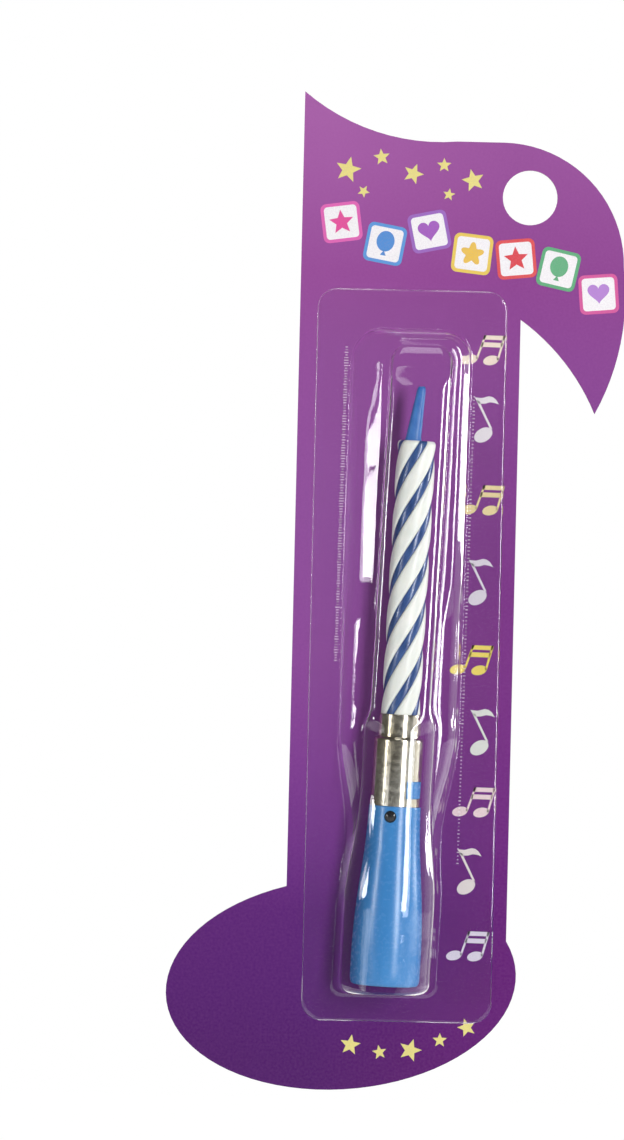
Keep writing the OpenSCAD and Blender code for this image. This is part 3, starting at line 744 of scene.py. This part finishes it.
window_levels = [window_low + (window_high - window_low) * k / window_rows for k in range(window_rows + 1)]
sleeve_levels = [base_top + rise for rise in (0.06, 0.3, 0.8)] + window_levels + list(sleeve_rows)
ferrule_out = bend([(sleeve_r - ferrule_lip, base_top), (sleeve_r, base_top),
                    (sleeve_r, base_top + ferrule_lip / 2)], 3)
ferrule_out += [(sleeve_r, z) for z in sleeve_levels]
ferrule_out += bend([(sleeve_r, collar_foot - shoulder_round[1]), (sleeve_r, collar_foot),
                     (sleeve_r - shoulder_round[0], collar_foot)], 8)
ferrule_out += bend([(collar_r + collar_root[0], collar_foot), (collar_r, collar_foot),
                     (collar_r, collar_foot + collar_root[1])], 5)
ferrule_out += [(collar_r, z) for z in collar_rows]
ferrule_out += bend([(collar_r, ferrule_top - ferrule_lip), (collar_r, ferrule_top),
                     (collar_r - ferrule_lip, ferrule_top)], 3)
sleeve_in_r = sleeve_r - steel_t
collar_in_r = collar_r - steel_t
ferrule_in = [(collar_in_r, ferrule_top), (collar_in_r, collar_foot - steel_t)]
ferrule_in.append((sleeve_in_r, collar_foot - steel_t))
ferrule_in += [(sleeve_in_r, z) for z in reversed(window_levels)]
ferrule_in.append((sleeve_in_r, base_top))
ferrule_profile = ferrule_out + ferrule_in
window_turns = [window_turn + window_half * (2 * k / window_steps - 1) for k in range(window_steps + 1)]
rest_sweep = 360 - 2 * window_half
ferrule_turns = window_turns + [window_turn + window_half + rest_sweep * k / rest_steps
                                for k in range(1, rest_steps)]
window_out = [ferrule_profile.index((sleeve_r, z)) for z in window_levels]
window_in = [ferrule_profile.index((sleeve_in_r, z)) for z in window_levels]
ferrule_shape = bmesh.new()
ferrule_rows = lathe(
    ferrule_shape, ferrule_profile, ferrule_turns,
    lambda i, k: k < window_steps and (i in window_out[:-1] or i in window_in[1:]))
rim = [(0, k) for k in range(window_steps)] + [(j, window_steps) for j in range(window_rows)]
rim += [(window_rows, k) for k in range(window_steps, 0, -1)] + [(j, 0) for j in range(window_rows, 0, -1)]
for (j, k), (j_after, k_after) in zip(rim, rim[1:] + rim[:1]):
    ferrule_shape.faces.new((
        ferrule_rows[window_out[j]][k], ferrule_rows[window_out[j_after]][k_after],
        ferrule_rows[window_in[j_after]][k_after], ferrule_rows[window_in[j]][k]))
ferrule_plate = clouded_finish(
    "warm_nickel_plate", (212, 207, 190), 0.18, ((220, 217, 206), (188, 176, 146)), (260, 4, (1, 1, 0.3)),
    ((700, 3, (1, 1, 0.2)), 0.00001, 0.5), ((1400, 4), 0.12, 0.26), Metallic=1.0)
add_piece("plated_ferrule", ferrule_shape, ferrule_plate, "holder", "plated_sheet", "ferrule")


# Base: azure polystyrene, moulded in one piece with the neck inside the ferrule and the lug in its
# window, and hollow for the cells, the buzzer and the circuit board.
base_r = 5.2
base_rows = (2.0, 3.2, 4.4, 5.4)
base_turns = 144
foot_edge = 1.1
foot_in_r = 4.62
foot_round = 0.08
flare_foot = 5.6
flare_top_r = 3.84
flare_rows = 64
flare_straight = 0.45
flare_lip = (0.08, 0.06)
board_room_r = 2.85
board_room_top = 27.1
cell_room_r = 4.05
cell_room_top = 11.95
plug_seat_r = 4.6
plug_seat_top = 0.95
plug_seat_edge = 0.06
neck_r = 3.43
neck_top = 36.45
socket_r = 2.4
socket_floor = 28.1
lens_z = 25.2
lens_turn = -100
lens_r = 0.85
lens_gap = 0.05
lens_hole_middle = 4.0
lens_hole_depth = 3.6
lug_sunk = 0.03
lug_side_gap = 0.8
lug_gap = 0.05
lug_edge = 0.12
lug_root = 0.3
lug_steps = 16


def drill(shape, place, turn, radius, depth):
    """Drills a round hole that points out of the axis at a turn, and gives the drilled bmesh."""
    bit_shape = bmesh.new()
    aim = Matrix.Translation(place) @ Matrix.Rotation(math.radians(turn), 4, "Z")
    bmesh.ops.create_cone(
        bit_shape, cap_ends=True, segments=48, radius1=radius, radius2=radius, depth=depth,
        matrix=aim @ Matrix.Rotation(math.radians(90), 4, "Y"))
    blank = mesh_object("drill_blank", shape)
    bit = mesh_object("drill_bit", bit_shape)
    for tool in (blank, bit):
        bpy.context.collection.objects.link(tool)
    hole = blank.modifiers.new("hole", "BOOLEAN")
    hole.operation = "DIFFERENCE"
    hole.solver = "EXACT"
    hole.object = bit
    drilled = plain_copy(blank, "drilled")
    shape = bmesh.new()
    shape.from_mesh(drilled.data)
    bpy.data.objects.remove(drilled)
    bpy.data.objects.remove(bit)
    return shape


def flare_r(z):
    """Radius of the flare at a height: a straight taper, eased at both ends."""
    t = (z - flare_foot) / (base_top - flare_foot)
    eased = t - 0.5 * math.sin(2 * math.pi * t) / math.pi
    return base_r + (flare_top_r - base_r) * (flare_straight * t + (1 - flare_straight) * eased)


base_profile = [
    (0, board_room_top), (board_room_r, board_room_top), (board_room_r, cell_room_top),
    (cell_room_r, cell_room_top), (cell_room_r, plug_seat_top), (plug_seat_r, plug_seat_top),
    (plug_seat_r, plug_seat_edge),
]
base_profile += bend([(foot_in_r, 0.0), (base_r - foot_round, 0.0), (base_r, foot_edge)], 8)
base_profile += [(base_r, z) for z in base_rows]
flare_heights = [flare_foot + (base_top - flare_foot) * k / flare_rows for k in range(flare_rows)]
base_profile += [(flare_r(z), z) for z in flare_heights]
base_profile += bend([(flare_top_r, base_top - flare_lip[1]), (flare_top_r, base_top),
                      (flare_top_r - flare_lip[0], base_top)], 3)
base_profile += [(neck_r, base_top), (neck_r, neck_top), (socket_r, neck_top), (socket_r, socket_floor)]
base_profile.append((0, socket_floor))
base_shape = bmesh.new()
lathe(base_shape, base_profile, [360 * k / base_turns for k in range(base_turns)], closed=False)
bmesh.ops.remove_doubles(base_shape, verts=base_shape.verts, dist=1e-5)
bmesh.ops.recalc_face_normals(base_shape, faces=base_shape.faces)
lens_hole = (*polar(lens_hole_middle, lens_turn), lens_z)
base_shape = drill(base_shape, lens_hole, lens_turn, lens_r + lens_gap, lens_hole_depth)
lug_r = sleeve_r - lug_sunk
lug_half = window_half - lug_side_gap
lug_turns = [window_turn + lug_half * (2 * k / lug_steps - 1) for k in range(lug_steps + 1)]
lug_rings = []
for z, radius in (
    (window_low + lug_gap, lug_r - lug_gap), (window_low + lug_edge, lug_r),
    (window_high - lug_edge, lug_r), (window_high - lug_gap, lug_r - lug_gap),
):
    lug_rings.append([(*polar(radius, t), z) for t in lug_turns]
                     + [(*polar(neck_r - lug_root, t), z) for t in reversed(lug_turns)])
loft(base_shape, lug_rings)
base_azure = clouded_finish(
    "azure_polystyrene", (60, 130, 196), 0.2, ((52, 128, 196), (66, 140, 206)), (330, 4, (1, 1, 0.25)),
    ((650, 3, (1, 1, 0.3)), 0.00001, 0.4), ((1700, 3), 0.24, 0.29))
add_piece("moulded_base", base_shape, base_azure, "holder", "blue_plastic", "base_housing")
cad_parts["base_plug"].data.materials[0] = base_azure


# Inside the base: the light sensor, a small circuit board, the buzzer, and two button cells between
# a coil spring and a contact plate. These parts keep their CAD shapes, each with its own finish.
for node, name, tint, shade, roughness, grain, metallic in (
    ("flame_sensor", "sensor_lens_black", (16, 18, 22), (34, 36, 40), 0.08, 900, 0.0),
    ("sensor_leads", "sensor_leads_tin", (196, 196, 194), (160, 160, 158), 0.3, 2000, 1.0),
    ("circuit_board", "board_solder_mask", (34, 110, 62), (22, 84, 48), 0.45, 1200, 0.0),
    ("melody_chip", "chip_resin", (22, 22, 24), (40, 40, 42), 0.35, 1500, 0.0),
    ("drive_transistor", "transistor_resin", (30, 30, 32), (48, 48, 50), 0.5, 1500, 0.0),
    ("bias_resistor", "resistor_glaze", (26, 26, 28), (52, 48, 44), 0.4, 2500, 0.0),
    ("buzzer_disc", "buzzer_brass_plate", (214, 178, 104), (188, 148, 78), 0.28, 900, 1.0),
    ("buzzer_ceramic", "buzzer_silvering", (222, 220, 212), (196, 192, 182), 0.4, 1200, 0.4),
    ("buzzer_lead_red", "red_wire_sleeve", (186, 40, 36), (154, 28, 26), 0.5, 2000, 0.0),
    ("buzzer_lead_black", "black_wire_sleeve", (26, 26, 26), (44, 44, 44), 0.5, 2000, 0.0),
    ("negative_spring", "spring_plate", (206, 204, 198), (164, 162, 156), 0.25, 2500, 1.0),
    ("cell_lower", "cell_lower_steel", (208, 208, 206), (178, 178, 176), 0.3, 1200, 1.0),
    ("cell_upper", "cell_upper_steel", (208, 208, 206), (178, 178, 176), 0.3, 1200, 1.0),
    ("positive_contact", "contact_plate", (210, 206, 196), (176, 170, 158), 0.28, 1500, 1.0),
):
    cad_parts[node].data.materials[0] = clouded_finish(
        name, tint, roughness, (tint, shade), (grain, 3), ((grain * 4, 2), 0.00001, 0.4), Metallic=metallic)


# Blister: clear 0.25 mm sheet, drawn hot over a block with a broad shoulder and a ridge for the
# candle. Its flange is welded to the card along two knurled seams beside the dome.
sheet_t = 0.25
sheet_lift = 0.05
sheet_front = sheet_lift + sheet_t
sheet_dent = 0.012
calm_h = 3
flange_x = -17.25
flange_half = 14.25
flange_top = -14.2
flange_bottom = -123.99
flange_corner = 3.0
flange_edge = 0.06
flange_step = 0.4
fillet = 0.25
dome_middle = (-17.8, -70)
dome_lean = 0.7
dome_half = 9.0
dome_corner = 4.5
dome_foot_corner = 1.6
dome_run = 2.4
dome_foot_run = 0.3
shoulder_h = 5.6
end_facet = (-26, 10)
round_start = (-57, 8)
round_power = 2.2
flank_start = (-80, 22)
flank_room = 0.8
ridge_top = -22.5
ridge_bottom = -119.49
ridge_room = 1.7
ridge_end = 0.05
ridge_slant = 6.4
ridge_slant_power = 1.7
ridge_corner = (0.15, 0.4)
ridge_powers = (6.0, 2.15, 2.05)
ridge_rows = (0.05, 0.2, 0.4, 0.55, 0.67, 0.77, 0.84, 0.89, 0.93, 0.96, 0.98, 0.992, 1.0)
crown_heights = (9.0, 9.78, 11.3)
crown_least = 0.03
sleeve_start = (foot_z + 41.6, 3.6)
flare_start = (foot_z + 29.0, 18.0)
corner_steps = 12
side_steps = 130

# Each point of the shoulder has a height, and how far out it lies on the left, at the left's upper
# end and on the right: 1 is the foot of the dome, and 0 is the ridge. The wall leans to its corners.
# The facet above it is straight, apart from a small bow at the left's upper end.
wall_foot = (0.65, 1, 1, 1)
wall_corners = [(2.0, 0.89, 0.96, 0.99), (3.6, 0.68, 0.59, 0.99), (3.8, 0.64, 0.57, 0.95)]
wall_top = (4.2, 0.533, 0.475, 0.86)
facet_top = (5.33, 0.16, 0.165, 0.59)
facet_bow = 0.04
notch_points = [(5.46, 0.1, 0.1, 0.5), (5.535, 0.05, 0.05, 0.33), (5.575, 0.01, 0.01, 0.05)]
facet_corner = [(low + high) / 2 for low, high in zip(wall_top, facet_top)]
facet_corner[2] += facet_bow
shoulder = bend([wall_foot, *wall_corners, wall_top], 8)[:-1]
shoulder += bend([wall_top, facet_corner, facet_top], 4) + notch_points


def down_from(z, start):
    """Grows smoothly from 0 at a start height to 1 at the end of its run down the pack."""
    t = min(1.0, max(0.0, (start[0] - z) / start[1]))
    return t * t * (3 - 2 * t)


def grow(z, wax, sleeve, foot):
    """A size that follows the candle: at the wax, then the ferrule, then the foot of the base."""
    return wax + (sleeve - wax) * down_from(z, sleeve_start) + (foot - sleeve) * down_from(z, flare_start)


def ridge_half(z):
    return grow(z, wax_r, sleeve_r, base_r) + ridge_room


def ridge_x(z):
    return (z - foot_z) * math.tan(math.radians(candle_lean)) + candle_x


def dome_x(z):
    return dome_middle[0] + (z - dome_middle[1]) * math.tan(math.radians(dome_lean))


def ring_side(top, bottom, round_top, round_bottom, half):
    """The right side of a round-cornered ring from top to bottom: half widths and heights."""
    high = top - round_top
    low = bottom + round_bottom
    side = []
    for k in range(corner_steps):
        turn = math.radians(90 * k / corner_steps)
        side.append((half(high) - round_top * (1 - math.sin(turn)), high + round_top * math.cos(turn)))
    for k in range(side_steps + 1):
        z = high + (low - high) * k / side_steps
        side.append((half(z), z))
    for k in range(1, corner_steps + 1):
        turn = math.radians(90 * k / corner_steps)
        side.append((half(low) - round_bottom * (1 - math.cos(turn)), low - round_bottom * math.sin(turn)))
    return side


def whole_ring(right, left, middle, height):
    """Both sides of a ring, at a height out of the card. The hot sheet is never quite even."""
    points = [(middle(z) + x, z) for x, z in right] + [(middle(z) - x, z) for x, z in reversed(left)]
    ring = []
    for x, z in points:
        h = height(z)
        drawn = min(1.0, h / calm_h)
        dent = 0.5 + 0.5 * sway(x, 3.7, z, (0.16, 1, 0.07)) + 0.2 * sway(x, 9.1, z, (0.5, 1, 0.22))
        shift = 0.05 * sway(x, 5.3, z, (0.2, 1, 0.11)) + 0.03 * sway(x, 1.7, z, (0.3, 1, 0.4))
        ring.append((x + shift * drawn, -h * (1 - sheet_dent * dent * drawn), z))
    return ring


def flange_ring(inset, height):
    side = ring_side(flange_top - inset, flange_bottom + inset, flange_corner, flange_corner,
                     lambda z: flange_half - inset)
    return whole_ring(side, side, lambda z: flange_x, lambda z: height)


def at_foot(z, side):
    return 1.0


def at_ridge(z, side):
    return 0.0


def shoulder_out(row, z, side):
    """How far out a row of the shoulder lies: faceted by the wax, then round, straight by the base."""
    rise, left, left_end, right = row
    facet = right
    if side < 0:
        facet = left_end + (left - left_end) * down_from(z, end_facet)
    risen = (rise - wall_foot[0]) / (shoulder_h - wall_foot[0])
    rounded = (1 - risen ** round_power) ** (1 / round_power)
    rounded += (1 - risen - rounded) * down_from(z, flank_start)
    return facet + (rounded - facet) * down_from(z, round_start)


def dome_ring(out, up, spread_out, height):
    """One ring of the dome: how far out at the foot, how far up the ridge, and how much wider."""
    def wide(z):
        power = grow(z, *ridge_powers)
        return max(crown_least, (1 - up ** power) ** (1 / power))

    def reach(z, side):
        beyond = dome_half - ridge_half(z) + side * (dome_x(z) - ridge_x(z))
        beyond += (flank_room - beyond) * down_from(z, flank_start)
        return wide(z) * ridge_half(z) + out(z, side) * beyond + spread_out

    top_out = 0.5 * (out(ridge_top, -1) + out(ridge_top, 1))
    foot_out = out(ridge_bottom, -1)
    top = ridge_top + dome_run * top_out - ridge_slant * up ** ridge_slant_power + spread_out
    bottom = ridge_bottom - dome_foot_run * foot_out + ridge_end * up - spread_out
    ridge_round = wide(top) * (wax_r + ridge_room) * (ridge_corner[0] + ridge_corner[1] * (1 - up))
    round_top = max(0.1, (1 - top_out) * ridge_round + top_out * dome_corner + spread_out)
    round_foot = dome_foot_corner * max(foot_out, wide(bottom)) + spread_out
    right, left = [ring_side(top, bottom, round_top, round_foot, lambda z, side=side: reach(z, side))
                   for side in (1, -1)]
    return whole_ring(right, left, ridge_x, height)


blister_rings = [flange_ring(0.0, sheet_front - flange_edge), flange_ring(flange_edge, sheet_front)]
blister_rings.append(flange_ring(flange_step, sheet_front))
blister_rings.append(dome_ring(at_foot, 0, fillet + flange_step, lambda z: sheet_front))
for turn in (0, 30, 60):
    out, back = polar(fillet, turn)
    bent = sheet_front + fillet - out
    blister_rings.append(dome_ring(at_foot, 0, fillet - back, lambda z, bent=bent: bent))
for row in shoulder:
    blister_rings.append(dome_ring(
        lambda z, side, row=row: shoulder_out(row, z, side), 0, 0, lambda z, row=row: row[0]))
for up in ridge_rows:
    blister_rings.append(dome_ring(
        at_ridge, up, 0, lambda z, up=up: shoulder_h + (grow(z, *crown_heights) - shoulder_h) * up))

blister_shape = bmesh.new()
blister_rows = [[blister_shape.verts.new(p) for p in ring] for ring in blister_rings]
row_length = len(blister_rows[0])
blister_quads = []
for low, high in zip(blister_rows, blister_rows[1:]):
    blister_quads += [(low[k], high[k], high[(k + 1) % row_length], low[(k + 1) % row_length])
                      for k in range(row_length)]
crown = blister_rows[-1]
blister_quads += [(crown[row_length - 1 - k], crown[row_length - 2 - k], crown[k + 1], crown[k])
                  for k in range(row_length // 2 - 1)]
for quad in blister_quads:
    blister_shape.faces.new(quad)
blister_shape.normal_update()
inner_vert = {vert: blister_shape.verts.new(vert.co - vert.normal * sheet_t)
              for vert in list(blister_shape.verts)}
for quad in blister_quads:
    blister_shape.faces.new([inner_vert[vert] for vert in reversed(quad)])
edge = blister_rows[0]
for k in range(row_length):
    after = (k + 1) % row_length
    blister_shape.faces.new((edge[k], edge[after], inner_vert[edge[after]], inner_vert[edge[k]]))


def pass_light(material, shader):
    """Lets the light of lamps and of the pack's own surfaces pass the thin sheet unbent."""
    ray = add_node(material, "ShaderNodeLightPath")
    passing = join_factors(
        material, "MAXIMUM", ray.outputs["Is Reflection Ray"], ray.outputs["Is Shadow Ray"])
    through = add_node(material, "ShaderNodeBsdfTransparent", Color=(1, 1, 1, 1))
    look = mix_shaders(material, passing, shader, through)
    connect(material, look, material.node_tree.nodes["Material Output"].inputs["Surface"])


clear_sheet, clear_shader = start_material(
    "clear_formed_sheet", (0.985, 0.99, 1.0), 0.04, Transmission_Weight=1.0, IOR=1.46)
clear_flange = spread(clear_sheet, object_place(clear_sheet)["Y"], 0, 1, -0.0008, -0.0004)
clear_speck = spread(clear_sheet, object_noise(clear_sheet, 2400, 2, (0.5, 1, 2)), 0.0, 1.0, 0.45, 0.7)
clear_frost = join_factors(clear_sheet, "MULTIPLY", clear_flange, clear_speck)
clear_rough = spread(clear_sheet, clear_frost, 0.03, 0.1, 0.0, 1.0)
connect(clear_sheet, clear_rough, clear_shader.inputs["Roughness"])
add_relief(clear_sheet, clear_shader, object_noise(clear_sheet, 240, 2), 0.00004, 0.25)
pass_light(clear_sheet, clear_shader)
add_piece("formed_blister", blister_shape, clear_sheet, "blister", "clear_sheet", "blister",
          place=Matrix.Identity(4), angle=60)


# Seal: two rows of fine ribs, pressed into the flange by the knurled jaws that weld it to the card.
# The ribs took unevenly, so their lengths differ, and the pressed plastic is a little frosted.
rib_r = 0.07
rib_least = 0.4
rib_seed = 4


def rib_tree():
    """A straight row of small ribs that lie across it, each of its own length."""
    tree, given, result = start_tree("seal_row", (
        ("Start", "Vector"), ("Step", "Vector"), ("Ribs", "Int"), ("Radius", "Float"), ("Length", "Float"),
        ("Plastic", "Material")), "Row")
    places = tree.nodes.new("GeometryNodeMeshLine")
    rib = tree.nodes.new("GeometryNodeMeshCylinder")
    rib.inputs["Vertices"].default_value = 6
    placed = tree.nodes.new("GeometryNodeInstanceOnPoints")
    placed.inputs["Rotation"].default_value = (0, math.radians(90), 0)
    uneven = tree.nodes.new("FunctionNodeRandomValue")
    uneven.data_type = "FLOAT_VECTOR"
    uneven.inputs["Min"].default_value = (1, 1, rib_least)
    uneven.inputs["Max"].default_value = (1, 1, 1)
    uneven.inputs["Seed"].default_value = rib_seed
    real = tree.nodes.new("GeometryNodeRealizeInstances")
    dressed = tree.nodes.new("GeometryNodeSetMaterial")
    for start, end in (
        (given.outputs["Ribs"], places.inputs["Count"]),
        (given.outputs["Start"], places.inputs["Start Location"]),
        (given.outputs["Step"], places.inputs["Offset"]),
        (given.outputs["Radius"], rib.inputs["Radius"]),
        (given.outputs["Length"], rib.inputs["Depth"]),
        (places.outputs[0], placed.inputs["Points"]),
        (rib.outputs["Mesh"], placed.inputs["Instance"]),
        (uneven.outputs["Value"], placed.inputs["Scale"]),
        (placed.outputs[0], real.inputs[0]),
        (real.outputs[0], dressed.inputs["Geometry"]),
        (given.outputs["Plastic"], dressed.inputs["Material"]),
        (dressed.outputs[0], result.inputs["Row"]),
    ):
        tree.links.new(start, end)
    return tree


seal_tree = rib_tree()
seal_plastic, seal_shader = start_material(
    "frosted_seal", (0.9, 0.8, 0.9), 0.4, Transmission_Weight=0.6, IOR=1.46)
seal_rough = spread(seal_plastic, object_noise(seal_plastic, 900, 3), 0.15, 0.5)
connect(seal_plastic, seal_rough, seal_shader.inputs["Roughness"])
pass_light(seal_plastic, seal_shader)
for side, name, rib_out, rib_pitch, rib_length, seal_top, seal_bottom in (
    (-1, "left_seal", 0.75, 0.4, 0.7, -23.0, -70.0), (1, "right_seal", 0.6, 0.55, 0.4, -30.0, -100.0),
):
    seal_start = Vector((dome_x(seal_top) + side * (dome_half + rib_out), -sheet_front, seal_top))
    seal_end = Vector((dome_x(seal_bottom) + side * (dome_half + rib_out), -sheet_front, seal_bottom))
    ribs = round((seal_top - seal_bottom) / rib_pitch)
    seal_row = run_tree(
        name, bpy.data.meshes.new(name), seal_tree, Start=seal_start * MM,
        Step=(seal_end - seal_start) / ribs * MM, Ribs=ribs + 1, Radius=rib_r * MM, Length=rib_length * MM,
        Plastic=seal_plastic)
    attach(seal_row, "blister")
